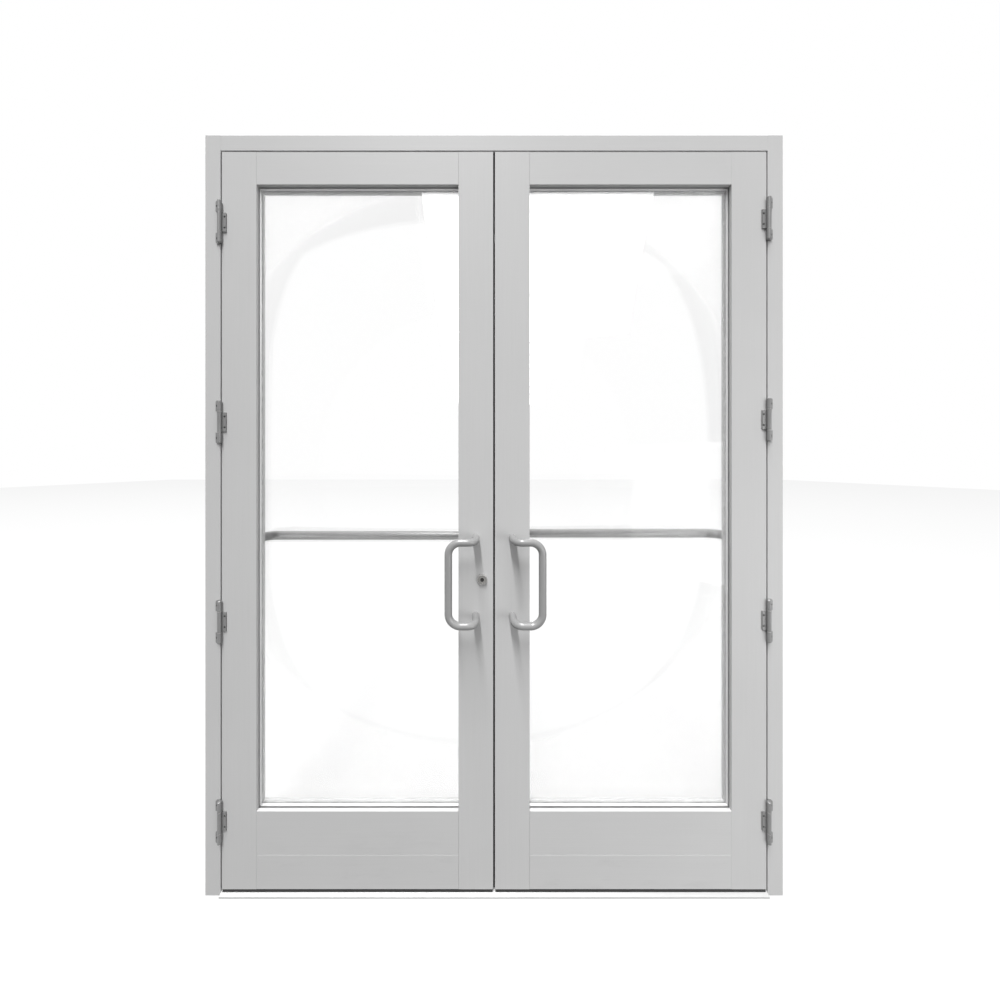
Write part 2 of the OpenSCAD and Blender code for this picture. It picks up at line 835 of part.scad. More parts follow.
day_w = leaf_w - 2*stile_w;                // the glass that shows
day_h = leaf_h - top_rail_h - bottom_rail_h;
glass_w = day_w + 2*glass_bite;
glass_h = day_h + 2*glass_bite;
glass_y = nose_d + seal_t;                 // outside face of the outer pane

// centred on the glass, X and Z across it, Y from the leaf's outside face
module at_glass() {
    translate([leaf_w/2, 0, bottom_rail_h + day_h/2]) children();
}

// a flat frame of outer size w by h and band width b, from y to y + t
module flat_frame(w, h, b, y, t) {
    translate([0, y, 0]) difference() {
        translate([-w/2, 0, -h/2]) cube([w, t, h]);
        translate([-w/2 + b, -over, -h/2 + b]) cube([w - 2*b, t + 2*over, h - 2*b]);
    }
}

module glass_panes() {
    at_glass() for (y = [glass_y, glass_y + pane_t + spacer_t])
        translate([-glass_w/2, y, -glass_h/2]) cube([glass_w, pane_t, glass_h]);
}

module glass_spacer() {
    at_glass() flat_frame(glass_w, glass_h, glass_bite, glass_y + pane_t, spacer_t);
}

seal_h = 8;
seal_set_back = 0.4;                       // seals sit just inside the edge of the lip

// a seal each side of the glass, and two blocks that the glass stands on
module glazing_seals() {
    block_l = 100;
    gap_h = pocket_d - glass_bite;
    w = day_w + 2*seal_h;
    h = day_h + 2*seal_h;
    at_glass() {
        flat_frame(w, h, seal_h - seal_set_back, nose_d, seal_t);
        flat_frame(w, h, seal_h - seal_set_back, glass_y + glass_t, seal_t);
        for (side = [-1, 1])
            translate([side*glass_w/4 - block_l/2, glass_y, -glass_h/2 - gap_h])
                cube([block_l, glass_t, gap_h]);
    }
}

module stop_tube_2d(w) {
    wall = 1.6;
    difference() {
        cut_square(w, nose_d, edge_cut/2);
        translate([wall, wall]) square([w - 2*wall, nose_d - 2*wall]);
    }
}

// four snap-in stops hold the glass from the inside
module glass_stops() {
    y = leaf_t - nose_d;
    z = bottom_rail_h - pocket_d;
    for (x = [tube_w, leaf_w - stile_w])
        translate([x, y, z]) linear_extrude(day_h + 2*pocket_d) stop_tube_2d(pocket_d);
    for (low = [z, leaf_h - top_rail_h])
        translate([stile_w + rail_joint, y, low])
            rail_along_x(day_w - 2*rail_joint) stop_tube_2d(pocket_d);
}

module left_glass_panes() {
    color(clear_glass) at_left_leaf() glass_panes();
}

module left_glass_spacer() {
    color(mill) at_left_leaf() glass_spacer();
}

module left_glass_stops() {
    color(light) at_left_leaf() glass_stops();
}

module left_glazing_seals() {
    color(rubber) at_left_leaf() glazing_seals();
}

module right_glass_panes() {
    color(clear_glass) at_right_leaf() glass_panes();
}

module right_glass_spacer() {
    color(mill) at_right_leaf() glass_spacer();
}

module right_glass_stops() {
    color(light) at_right_leaf() glass_stops();
}

module right_glazing_seals() {
    color(rubber) at_right_leaf() glazing_seals();
}

// ---- pull handles and push bars ------------------------------------------------------

pull_leg_z = [pull_z - pull_centres/2, pull_z + pull_centres/2];
pull_in = stile_w - pull_back;             // legs from the leaf's meeting edge
leg_bend = 28;                             // bend from a leg into the sideways run
grip_bend = 38;                            // bend from the sideways run into the grip
pull_bolt_r = 3;
pull_bolt_in = 22;                         // thread length in a leg

// a quarter of a bent round bar in the XY plane, its middle line at radius bend from the
// origin, from the +X axis round to the +Y axis
module quarter_bend(bend, r) {
    rotate_extrude(angle = 90) translate([bend, 0]) circle(r);
}

// the upper half of a pull: leg, bend, sideways run, bend and half the grip.
// Origin at the leg's foot, the leg along -Y, the run along -X, the grip along -Z.
module half_pull(r) {
    leg = pull_out - leg_bend;
    run = pull_offset - leg_bend - grip_bend;
    grip = pull_centres/2 - grip_bend;
    rotate([90, 0, 0]) cylinder(r = r, h = leg);
    translate([-leg_bend, -leg, 0]) rotate(-90) quarter_bend(leg_bend, r);
    translate([-leg_bend, -pull_out, 0]) rotate([0, -90, 0]) cylinder(r = r, h = run);
    translate([-leg_bend - run, -pull_out, -grip_bend]) rotate([90, 0, 0]) rotate(90)
        quarter_bend(grip_bend, r);
    translate([-pull_offset, -pull_out, -grip_bend - grip]) cylinder(r = r, h = grip);
}

module pull_handle() {
    translate([leaf_w - pull_in, 0, pull_z - leaf_z]) difference() {
        for (end = [0, 1]) mirror([0, 0, end])
            translate([0, 0, pull_centres/2]) half_pull(pull_r);
        for (end = [-1, 1]) translate([0, -pull_bolt_in, end*pull_centres/2])
            along_y() cylinder(r = pull_bolt_r + 0.05, h = pull_bolt_in + over);
    }
}

// through bolts from the inside, each on a washer
module pull_bolts() {
    washer_r = 5.5;
    washer_h = 1.6;
    head_r = 5;
    head_h = 4;
    length = washer_h + leaf_t + pull_bolt_in - 3;
    for (z = pull_leg_z) translate([leaf_w - pull_in, leaf_t, z - leaf_z]) {
        along_y() ring(washer_r, pull_bolt_r + 0.2, washer_h);
        translate([0, washer_h + head_h, 0]) mirror([0, 1, 0])
            socket_screw(pull_bolt_r, head_r, head_h, length);
    }
}

module left_pull_handle() {
    color(satin) at_left_leaf() pull_handle();
}

module left_pull_bolts() {
    color(steel) at_left_leaf() pull_bolts();
}

module right_pull_handle() {
    color(satin) at_right_leaf() pull_handle();
}

module right_pull_bolts() {
    color(steel) at_right_leaf() pull_bolts();
}

foot_w = 2*bar_r + 0.4;                    // a foot just wider than its bar
foot_edge = 0.8;                           // a foot from the end of the stile's tube
bar_in = tube_w - foot_edge - foot_w/2;    // the middle of a foot from the leaf's edge
bar_bend = 40;
bar_wall = 2.5;
foot_h = 72;
foot_t = 5;
bar_screw_z = 27;
bar_screw_head_r = 4.2;

module bar_screw_places(rise) {
    for (x = [bar_in, leaf_w - bar_in], end = [-1, 1])
        translate([x, leaf_t + foot_t + 2.5, bar_z + rise - leaf_z + end*bar_screw_z]) children();
}

module bar_holes(rise) {
    bar_screw_places(rise) translate([0, -foot_t - leaf_wall - 3, 0])
        along_y() cylinder(r = screw_r + 0.05, h = leaf_wall + foot_t + 3);
}

// half a bent bar: leg along +Y, bend, then half the run along +X
module half_bar(r) {
    leg = bar_out - bar_bend;
    run = leaf_w/2 - bar_in - bar_bend;
    translate([0, -over, 0]) along_y() cylinder(r = r, h = leg + over);
    translate([bar_bend, leg, 0]) rotate(90) quarter_bend(bar_bend, r);
    translate([bar_bend, bar_out, 0]) rotate([0, 90, 0]) cylinder(r = r, h = run + over);
}

module bent_bar(r) {
    translate([bar_in, 0, 0]) half_bar(r);
    translate([leaf_w - bar_in, 0, 0]) mirror([1, 0, 0]) half_bar(r);
}

module push_bar(rise) {
    translate([0, leaf_t, bar_z + rise - leaf_z]) difference() {
        union() {
            intersection() {
                bent_bar(bar_r);
                translate([0, 0, -2*bar_r]) cube([leaf_w, 2*bar_out, 4*bar_r]);
            }
            for (x = [bar_in, leaf_w - bar_in])
                translate([x - foot_w/2, 0, -foot_h/2]) cube([foot_w, foot_t, foot_h]);
        }
        bent_bar(bar_r - bar_wall);
        translate([0, -leaf_t, -(bar_z + rise - leaf_z)]) bar_holes(rise);
    }
}

module left_push_bar() {
    color(satin) at_left_leaf() push_bar(0);
}

module right_push_bar() {
    color(satin) at_right_leaf() push_bar(right_bar_rise);
}

// ---- seals on the leaves -------------------------------------------------------------

pile_y = 6;                                // the pile's middle from the outside face
pile_w = 3.6;
pile_base_w = 5;
pile_base_d = 2;
pile_out = meeting_gap - 0.6;              // how far the pile stands into the meeting gap

module meeting_seal() {
    color(rubber) at_left_leaf() {
        translate([leaf_w - pile_base_d, pile_y - pile_base_w/2 + 0.1, 0])
            cube([1, pile_base_w - 0.2, leaf_h]);
        translate([leaf_w - pile_base_d, pile_y - pile_w/2, 0])
            cube([pile_base_d + pile_out, pile_w, leaf_h]);
    }
}

sweep_in = 0.6;                            // the sweep's front from the outside face
sweep_end = 1.5;                           // its ends from the leaf's edges
sweep_d = 13;
sweep_t = 2;
sweep_blade_t = 2.6;
sweep_clear = 0.8;                         // its blade from the threshold

// height of the threshold's top above the floor, y behind the leaf's outside face
function sill_top(y) =
    min(sill_h, sill_lip + (sill_h - sill_lip)*(y + sill_front)/sill_bevel);

// a rubber sweep under the leaf: a flat base, and a blade along its front that follows
// the threshold's slope
module bottom_sweep() {
    blade_back = sweep_in + sweep_blade_t;
    base_back = sweep_in + sweep_d;
    drop = sweep_clear - leaf_z;
    translate([sweep_end, 0, 0]) along_x(leaf_w - 2*sweep_end)
        polygon([[sweep_in, 0], [base_back, 0], [base_back, -sweep_t], [blade_back, -sweep_t],
            [blade_back, sill_top(blade_back) + drop], [sweep_in, sill_top(sweep_in) + drop]]);
}

module left_bottom_sweep() {
    color(rubber) at_left_leaf() bottom_sweep();
}

module right_bottom_sweep() {
    color(rubber) at_right_leaf() bottom_sweep();
}

// ---- lock on the left leaf -----------------------------------------------------------

edge_plate_w = 25.4;
edge_plate_t = 2;
pivot_in = 12;                             // the bolt's pivot from the meeting edge
bolt_half_w = 7.5;
bolt_t = 10;
pivot_r = 4;
bolt_slot_w = bolt_t + 1.2;
slot_low_z = lock_z - bolt_reach - 4;
slot_high_z = lock_z + bolt_half_w + 2;
case_t = 18;
case_wall = 2.5;
case_z = slot_low_z - 26;
case_h = slot_high_z + 30 - case_z;
case_d = backset + cylinder_r + 3;         // depth of the case from the meeting edge
lock_plate_z = case_z - 14;
lock_plate_h = case_h + 28;
strike_plate_z = slot_low_z - 24;
strike_plate_h = slot_high_z - slot_low_z + 48;

// a shallow rebate in the meeting edge for a plate that starts at height z
module edge_plate_cut(z, h) {
    translate([leaf_w - edge_plate_t, mid_y - edge_plate_w/2, z - leaf_z])
        cube([edge_plate_t + over, edge_plate_w, h]);
}

module edge_plate(z, h) {
    translate([leaf_w - edge_plate_t, mid_y - edge_plate_w/2, z - leaf_z])
        cube([edge_plate_t, edge_plate_w, h]);
}

module bolt_slot() {
    translate([leaf_w - leaf_wall - over, mid_y - bolt_slot_w/2, slot_low_z - leaf_z])
        cube([leaf_wall + 2*over, bolt_slot_w, slot_high_z - slot_low_z]);
}

module lock_case() {
    color(steel) at_left_leaf() difference() {
        union() {
            edge_plate(lock_plate_z, lock_plate_h);
            translate([leaf_w - case_d, mid_y - case_t/2, case_z - leaf_z])
                cube([case_d - edge_plate_t, case_t, case_h]);
        }
        translate([leaf_w - case_d + case_wall, mid_y - case_t/2 + case_wall,
            case_z - leaf_z + case_wall])
            cube([case_d - case_wall - edge_plate_t, case_t - 2*case_wall, case_h - 2*case_wall]);
        bolt_slot();
        translate([leaf_w - backset, 0, lock_z - leaf_z]) along_y()
            cylinder(r = cylinder_r + 0.1, h = leaf_t);
        translate([leaf_w - pivot_in, 0, lock_z - leaf_z]) along_y()
            cylinder(r = pivot_r + turn_fit, h = leaf_t);
    }
}

// hangs in the case at rest, and swings out through the slot about its pivot
module lock_bolt() {
    color(steel) at_left_leaf() translate([leaf_w - pivot_in, mid_y, lock_z - leaf_z]) {
        translate([0, bolt_t/2, 0]) rotate([90, 0, 0]) linear_extrude(bolt_t) {
            circle(bolt_half_w);
            translate([-bolt_half_w, 2 - bolt_reach]) square([2*bolt_half_w, bolt_reach - 2]);
            translate([2 - bolt_half_w, -bolt_reach]) square([2*bolt_half_w - 4, 3]);
        }
        translate([0, -case_t/2 + 0.2, 0]) along_y() cylinder(r = pivot_r, h = case_t - 0.4);
    }
}

collar_out = 9;
collar_r = 17.5;
plug_r = 6.4;
cam_gap = 2;                               // space between the two cylinders in the case

module at_cylinder() {
    translate([leaf_w - backset, 0, lock_z - leaf_z]) along_y() children();
}

module cylinder_collar() {
    color(satin) at_left_leaf() at_cylinder() translate([0, 0, -collar_out]) difference() {
        cylinder(r1 = collar_r - 1.6, r2 = collar_r, h = collar_out);
        translate([0, 0, -over]) cylinder(r = cylinder_r + 0.1, h = collar_out + 2*over);
    }
}

module lock_cylinder() {
    start = 1.4 - collar_out;
    color(satin) at_left_leaf() at_cylinder() translate([0, 0, start])
        ring(cylinder_r, plug_r + turn_fit, mid_y - cam_gap/2 - start);
}

module key_plug() {
    start = 1.8 - collar_out;
    slot_h = 8.4;
    slot_w = 1.6;
    color(satin) at_left_leaf() at_cylinder() difference() {
        translate([0, 0, start]) cylinder(r = plug_r, h = mid_y - cam_gap/2 - start - 0.5);
        translate([-slot_w/2, -slot_h/2, start - over]) cube([slot_w, slot_h, 20]);
    }
}

rose_t = 5;
rose_r = 20;
spindle_r = 6;

module thumbturn_housing() {
    color(satin) at_left_leaf() at_cylinder() difference() {
        union() {
            translate([0, 0, mid_y + cam_gap/2])
                cylinder(r = cylinder_r, h = leaf_t/2 - cam_gap/2 + over);
            translate([0, 0, leaf_t]) cylinder(r = rose_r, h = rose_t);
        }
        translate([0, 0, mid_y]) cylinder(r = spindle_r + turn_fit, h = leaf_t);
    }
}

module thumbturn() {
    knob_l = 38;
    knob_t = 9;
    knob_h = 20;
    neck_r = 11;
    neck_h = 4;
    color(satin) at_left_leaf() at_cylinder() {
        translate([0, 0, mid_y + cam_gap/2 + 0.5])
            cylinder(r = spindle_r, h = leaf_t/2 + rose_t);
        translate([0, 0, leaf_t + rose_t + 0.5]) {
            cylinder(r = neck_r, h = neck_h);
            intersection() {
                translate([-knob_t/2, -knob_l/2, 0]) cube([knob_t, knob_l, knob_h]);
                translate([-knob_t, 0, 0]) rotate([0, 90, 0])
                    cylinder(r = knob_l/2, h = 2*knob_t);
            }
        }
    }
}

// ---- strike and bolts on the right leaf ----------------------------------------------

flush_plate_h = 110;
flush_z = [330, opening_h - 300];          // low end of each flush-bolt plate
tab_w = 10;
tab_h = 14;
tab_slot_h = tab_h + bolt_throw + 2;
tab_out = 1.5;                             // how far the thumb tab stands out of its plate
guide_t = 12;
guide_in = 2;                              // a guide sits this far inside the stile's end

module lock_strike() {
    color(steel) at_right_leaf() difference() {
        edge_plate(strike_plate_z, strike_plate_h);
        bolt_slot();
    }
}

module rod_guide(z) {
    fit = 0.2;
    length = 36;
    translate([leaf_w - length, leaf_wall + fit, z]) difference() {
        cube([length - leaf_wall - fit, leaf_t - 2*leaf_wall - 2*fit, guide_t]);
        translate([length - rod_in, mid_y - leaf_wall - fit, -over])
            cylinder(r = rod_r + slide_fit, h = guide_t + 2*over);
    }
}

// the slotted edge plates, and the guide that holds each rod at the stile's end
module flush_bolt_plates() {
    color(steel) at_right_leaf() {
        for (z = flush_z) difference() {
            edge_plate(z, flush_plate_h);
            translate([leaf_w - edge_plate_t - over, mid_y - tab_w/2 - 0.3,
                z - leaf_z + flush_plate_h/2 - tab_slot_h/2])
                cube([edge_plate_t + 2*over, tab_w + 0.6, tab_slot_h]);
        }
        rod_guide(guide_in);
        rod_guide(leaf_h - guide_in - guide_t);
    }
}

// a rod with its slide and thumb tab. tab_z is the tab's middle at rest, end_z the rod's end
module flush_bolt(tab_z, end_z) {
    slide_h = 34;
    x_rod = leaf_w - rod_in;
    low = min(tab_z, end_z);
    translate([x_rod, mid_y, low]) cylinder(r = rod_r, h = abs(end_z - tab_z));
    translate([x_rod - rod_r - 2, mid_y - 9, tab_z - slide_h/2])
        cube([leaf_w - leaf_wall - 0.8 - x_rod + rod_r + 2, 18, slide_h]);
    translate([leaf_w - leaf_wall - 2, mid_y - tab_w/2, tab_z - tab_h/2])
        cube([leaf_wall + 2 + tab_out, tab_w, tab_h]);
}

module top_bolt() {
    slot_mid = flush_z[1] + flush_plate_h/2 - leaf_z;
    color(steel) at_right_leaf() flush_bolt(slot_mid - bolt_throw/2, leaf_h - 2);
}

module bottom_bolt() {
    slot_mid = flush_z[0] + flush_plate_h/2 - leaf_z;
    color(steel) at_right_leaf() flush_bolt(slot_mid + bolt_throw/2, 2);
}

// ---- one line a node -----------------------------------------------------------------

left_jamb();
right_jamb();
head();
door_stops();
stop_seals();
threshold();
head_screws();
frame_hinge_knuckles();
hinge_pins();
hinge_bushes();
frame_hinge_screws();
frame_nut_plates();
head_bolt_strike();
left_hinge_stile();
left_lock_stile();
left_top_rail();
left_bottom_rail();
left_corner_blocks();
left_tie_rods();
left_glass_panes();
left_glass_spacer();
left_glass_stops();
left_glazing_seals();
left_pull_handle();
left_pull_bolts();
left_push_bar();
left_leaf_knuckles();
left_leaf_screws();
left_nut_plates();
meeting_seal();
left_bottom_sweep();
lock_case();
lock_cylinder();
cylinder_collar();
thumbturn_housing();
lock_bolt();
thumbturn();
key_plug();
right_hinge_stile();
right_meeting_stile();
right_top_rail();
right_bottom_rail();
right_corner_blocks();
right_tie_rods();
right_glass_panes();
right_glass_spacer();
right_glass_stops();
right_glazing_seals();
right_pull_handle();
right_pull_bolts();
right_push_bar();
right_leaf_knuckles();
right_leaf_screws();
right_nut_plates();
right_bottom_sweep();
lock_strike();
flush_bolt_plates();
top_bolt();
bottom_bolt();
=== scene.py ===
"""A glazed double entrance door in its frame: finishes, softened edges, seals and light."""
import json
import math

import bmesh
import bpy
import numpy as np
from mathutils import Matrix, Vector

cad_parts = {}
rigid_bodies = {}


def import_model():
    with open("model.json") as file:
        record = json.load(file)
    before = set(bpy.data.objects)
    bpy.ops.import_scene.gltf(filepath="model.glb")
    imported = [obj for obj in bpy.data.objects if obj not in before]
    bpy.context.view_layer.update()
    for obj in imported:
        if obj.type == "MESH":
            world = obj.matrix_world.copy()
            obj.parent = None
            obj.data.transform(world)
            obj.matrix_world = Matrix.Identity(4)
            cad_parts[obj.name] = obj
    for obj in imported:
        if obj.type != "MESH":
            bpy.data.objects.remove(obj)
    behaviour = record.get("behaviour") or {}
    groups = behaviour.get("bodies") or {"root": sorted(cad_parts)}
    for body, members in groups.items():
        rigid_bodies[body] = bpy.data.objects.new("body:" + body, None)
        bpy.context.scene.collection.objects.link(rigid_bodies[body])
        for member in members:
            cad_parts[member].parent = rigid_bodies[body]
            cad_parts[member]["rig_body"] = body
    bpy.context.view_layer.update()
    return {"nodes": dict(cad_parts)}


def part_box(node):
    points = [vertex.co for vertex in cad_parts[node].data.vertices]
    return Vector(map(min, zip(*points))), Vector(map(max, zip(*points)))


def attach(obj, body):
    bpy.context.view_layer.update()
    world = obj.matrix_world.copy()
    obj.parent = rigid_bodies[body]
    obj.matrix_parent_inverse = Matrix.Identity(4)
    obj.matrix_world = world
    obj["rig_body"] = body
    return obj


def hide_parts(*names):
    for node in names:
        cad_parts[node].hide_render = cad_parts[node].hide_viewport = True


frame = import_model()
NODES = frame["nodes"]

MM = 0.001


def put_in_scene(obj):
    """Links a new object to the scene and hands it back."""
    bpy.context.scene.collection.objects.link(obj)
    return obj


# ---- node trees ------------------------------------------------------------------------


class Finish:
    """A material under construction: a node tree with a few helpers to add to it."""

    def __init__(self, name, own_map=False):
        """Starts a material placed by object coordinates, or by the piece's own map."""
        self.mat = bpy.data.materials.new(name)
        self.mat.use_nodes = True
        self.tree = self.mat.node_tree
        self.shader = self.tree.nodes["Principled BSDF"]
        self.place = self.tree.nodes.new("ShaderNodeTexCoord").outputs["UV" if own_map else "Object"]

    def node(self, kind, inputs=None, **settings):
        """Adds a node, sets its properties, and sets or links its inputs."""
        made = self.tree.nodes.new(kind)
        for key, value in settings.items():
            setattr(made, key, value)
        for key, value in (inputs or {}).items():
            self.feed(made.inputs[key], value)
        return made

    def feed(self, socket, value):
        """Links an output to a socket, or sets a plain value on it."""
        if isinstance(value, bpy.types.NodeSocket):
            self.tree.links.new(value, socket)
        else:
            socket.default_value = value

    def stretched(self, scale, turn=(0, 0, 0)):
        """Object coordinates stretched by scale, for grain that runs one way."""
        return self.node("ShaderNodeMapping", {"Vector": self.place, "Scale": scale,
            "Rotation": turn}).outputs["Vector"]

    def noise(self, scale, detail=4.0, rough=0.55, where=None):
        """Fractal noise between 0 and 1."""
        return self.node("ShaderNodeTexNoise", {"Vector": where or self.place, "Scale": scale,
            "Detail": detail, "Roughness": rough}).outputs["Fac"]

    def span(self, value, low, high, a=0.0, b=1.0):
        """Carries a value from the range low..high to the range a..b."""
        return self.node("ShaderNodeMapRange", {"Value": value, "From Min": low, "From Max": high,
            "To Min": a, "To Max": b}).outputs["Result"]

    def maths(self, how, a, b=0.0):
        """One arithmetic step."""
        return self.node("ShaderNodeMath", {0: a, 1: b}, operation=how).outputs["Value"]

    def blend(self, amount, a, b):
        """Mixes two colours by amount."""
        mix = self.node("ShaderNodeMix", {"Factor": amount}, data_type="RGBA")
        for key, value in (("A", a), ("B", b)):
            self.feed([i for i in mix.inputs if i.name == key and i.type == "RGBA"][0], value)
        return [o for o in mix.outputs if o.type == "RGBA"][0]

    def grey(self, level, tint=(1.0, 1.0, 1.0)):
        """A colour whose three parts are one level, each with its share of a tint."""
        parts = [self.maths("MULTIPLY", level, t) if t != 1.0 else level for t in tint]
        sockets = dict(zip(("Red", "Green", "Blue"), parts))
        return self.node("ShaderNodeCombineColor", sockets).outputs["Color"]

    def bump(self, height, strength, distance, normal=None):
        """Turns a height into a bent normal."""
        links = {"Height": height, "Strength": strength, "Distance": distance}
        if normal is not None:
            links["Normal"] = normal
        return self.node("ShaderNodeBump", links).outputs["Normal"]

    def set(self, **values):
        """Sets the shader's sockets; underscores stand for spaces."""
        for key, value in values.items():
            self.feed(self.shader.inputs[key.replace("_", " ")], value)
        return self


def grey(level, tint=(1.0, 1.0, 1.0)):
    """A colour from a grey level, with a slight tint."""
    return (level*tint[0], level*tint[1], level*tint[2], 1.0)


# ---- surfaces --------------------------------------------------------------------------


def grid_faces(rows, cols, wrap_rows, wrap_cols):
    """Quads of a rows by cols grid of points; a wrapped direction joins its last to its first."""
    r = np.arange(rows if wrap_rows else rows - 1)
    c = np.arange(cols if wrap_cols else cols - 1)
    a, b = np.meshgrid(r, c, indexing="ij")
    a2 = (a + 1) % rows
    b2 = (b + 1) % cols
    return np.stack([a*cols + b, a*cols + b2, a2*cols + b2, a2*cols + b], -1).reshape(-1, 4)


def make_piece(name, shape, material, body, replaces=(), smooth=40.0):
    """A mesh from (points, faces) or (points, faces, map), riding on a body.

    The map gives each point two coordinates for its finish, such as the way along a bar.
    """
    points, faces = shape[0], shape[1]
    mesh = bpy.data.meshes.new(name)
    mesh.from_pydata(np.asarray(points, float).reshape(-1, 3).tolist(), [],
        [list(map(int, f)) for f in faces])
    if len(shape) > 2:
        corner = np.empty(len(mesh.loops), np.int32)
        mesh.loops.foreach_get("vertex_index", corner)
        layer = mesh.uv_layers.new(name="run")
        layer.uv.foreach_set("vector", np.asarray(shape[2], np.float32)[corner].ravel())
    outwards(mesh)
    shade(mesh, smooth)
    return dress(put_in_scene(bpy.data.objects.new(name, mesh)), material, body, replaces)


def outwards(mesh):
    """Turns every face of each closed shell outwards."""
    work = bmesh.new()
    work.from_mesh(mesh)
    bmesh.ops.recalc_face_normals(work, faces=work.faces)
    work.to_mesh(mesh)
    work.free()


def shade(mesh, angle):
    """Smooth shading, with a hard edge wherever two faces meet at more than angle degrees."""
    work = bmesh.new()
    work.from_mesh(mesh)
    limit = math.radians(angle)
    for f in work.faces:
        f.smooth = True
    for e in work.edges:
        e.smooth = len(e.link_faces) == 2 and e.calc_face_angle(4.0) < limit
    work.to_mesh(mesh)
    work.free()


def dress(obj, material, body, replaces=()):
    """Gives a piece its material, its body and the nodes it stands for."""
    obj.data.materials.clear()
    obj.data.materials.append(material)
    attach(obj, body)
    if replaces:
        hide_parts(*replaces)
    return obj


def rounded_path(corners, bends, steps=14):
    """A path through corner points with round bends: straight runs joined by circular arcs.

    At a corner with bend radius r and turning angle t, the arc starts and ends r tan(t/2)
    from the corner, and its points are centre + r (cos, sin) in the plane of the two runs.
    """
    corners = np.asarray(corners, float)
    out = [corners[0]]
    for i in range(1, len(corners) - 1):
        p = corners[i]
        u = corners[i - 1] - p
        v = corners[i + 1] - p
        u /= np.linalg.norm(u)
        v /= np.linalg.norm(v)
        half = math.acos(float(np.clip(u @ v, -1, 1)))/2
        r = bends[i - 1]
        mid = (u + v)/np.linalg.norm(u + v)
        centre = p + mid*r/math.sin(half)
        a = p + u*r/math.tan(half) - centre
        b = p + v*r/math.tan(half) - centre
        sweep = math.pi - 2*half
        t = np.linspace(0, sweep, steps)[:, None]
        out.extend(centre + (a*np.sin(sweep - t) + b*np.sin(t))/math.sin(sweep))
    out.append(corners[-1])
    return np.array(out)


def frames_along(path):
    """Two unit vectors across a path at each point, carried along without twist."""
    tangent = np.gradient(path, axis=0)
    tangent /= np.linalg.norm(tangent, axis=1, keepdims=True)
    start = np.cross(tangent[0], [0.0, 0.0, 1.0])
    if np.linalg.norm(start) < 0.1:
        start = np.cross(tangent[0], [1.0, 0.0, 0.0])
    side = [start/np.linalg.norm(start)]
    for t in tangent[1:]:
        s = side[-1] - t*(side[-1] @ t)
        side.append(s/np.linalg.norm(s))
    side = np.array(side)
    return side, np.cross(tangent, side)


def round_bar(path, radius, sides=40):
    """A round bar: the point at angle a on ring i is path_i + r_i (cos a side + sin a up).

    The radius may be one number or one a ring. Both ends are closed by a fan to the middle.
    The map holds the way along the bar, and the way round it.
    """
    path = np.asarray(path, float)
    side, up = frames_along(path)
    a = np.linspace(0, 2*math.pi, sides, endpoint=False)
    r = np.broadcast_to(np.asarray(radius, float), (len(path),))[:, None, None]
    ring = side[:, None, :]*np.cos(a)[None, :, None] + up[:, None, :]*np.sin(a)[None, :, None]
    points = (path[:, None, :] + r*ring).reshape(-1, 3)
    run = np.concatenate([[0.0], np.cumsum(np.linalg.norm(np.diff(path, axis=0), axis=1))])
    way_round = np.abs(a - math.pi)*np.max(radius)
    places = np.stack(np.meshgrid(run, way_round, indexing="ij"), -1).reshape(-1, 2)
    faces = grid_faces(len(path), sides, False, True).tolist()
    first = len(points)
    last = (len(path) - 1)*sides
    faces += [[first, i, (i + 1) % sides] for i in range(sides)]
    faces += [[first + 1, last + (i + 1) % sides, last + i] for i in range(sides)]
    points = np.vstack([points, path[0], path[-1]])
    places = np.vstack([places, [run[0], 0.0], [run[-1], 0.0]])
    return points, faces, places


def band_round(section, half_w, half_h, place):
    """A closed section carried round a rectangle with mitred corners.

    section is (out, y) pairs: out is the distance outside the rectangle of half_w by half_h,
    y the depth. Each corner (sx, sz) takes the point (sx (half_w + out), y, sz (half_h + out)).
    """
    section = np.asarray(section, float)
    corners = np.array([[-1, -1], [1, -1], [1, 1], [-1, 1]], float)
    x = corners[:, None, 0]*(half_w + section[None, :, 0])
    z = corners[:, None, 1]*(half_h + section[None, :, 0])
    y = np.broadcast_to(section[None, :, 1], x.shape)
    points = np.stack([x, y, z], -1).reshape(-1, 3) + np.asarray(place, float)
    return points, grid_faces(4, len(section), True, True)


def join(parts):
    """Puts several shapes into one; their maps are kept if every shape has one."""
    points = []
    faces = []
    places = []
    start = 0
    for p, f, *m in parts:
        points.append(np.asarray(p, float).reshape(-1, 3))
        faces += [[int(i) + start for i in one] for one in f]
        places += m
        start += len(points[-1])
    if len(places) == len(parts):
        return np.vstack(points), faces, np.vstack(places)
    return np.vstack(points), faces


def eased(node, material, width):
    """A copy of a part with its hard edges slightly rounded, as extruding and finishing do."""
    source = NODES[node]
    mesh = source.data.copy()
    mesh.name = f"{node}_eased"
    work = bmesh.new()
    work.from_mesh(mesh)
    bmesh.ops.remove_doubles(work, verts=work.verts, dist=2e-6)
    bmesh.ops.dissolve_limit(work, angle_limit=math.radians(0.6), verts=work.verts,
        edges=work.edges, delimit={"NORMAL"})
    work.to_mesh(mesh)
    work.free()
    mesh.normals_split_custom_set([(0, 0, 0)]*len(mesh.loops))
    shade(mesh, 32.0)
    obj = put_in_scene(bpy.data.objects.new(f"{node}_eased", mesh))
    edge = obj.modifiers.new("eased edges", "BEVEL")
    edge.width = width
    edge.segments = 2
    edge.limit_method = "ANGLE"
    edge.angle_limit = math.radians(38)
    edge.harden_normals = True
    edge.use_clamp_overlap = True
    return dress(obj, material, source["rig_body"], (node,))


# ---- finishes --------------------------------------------------------------------------

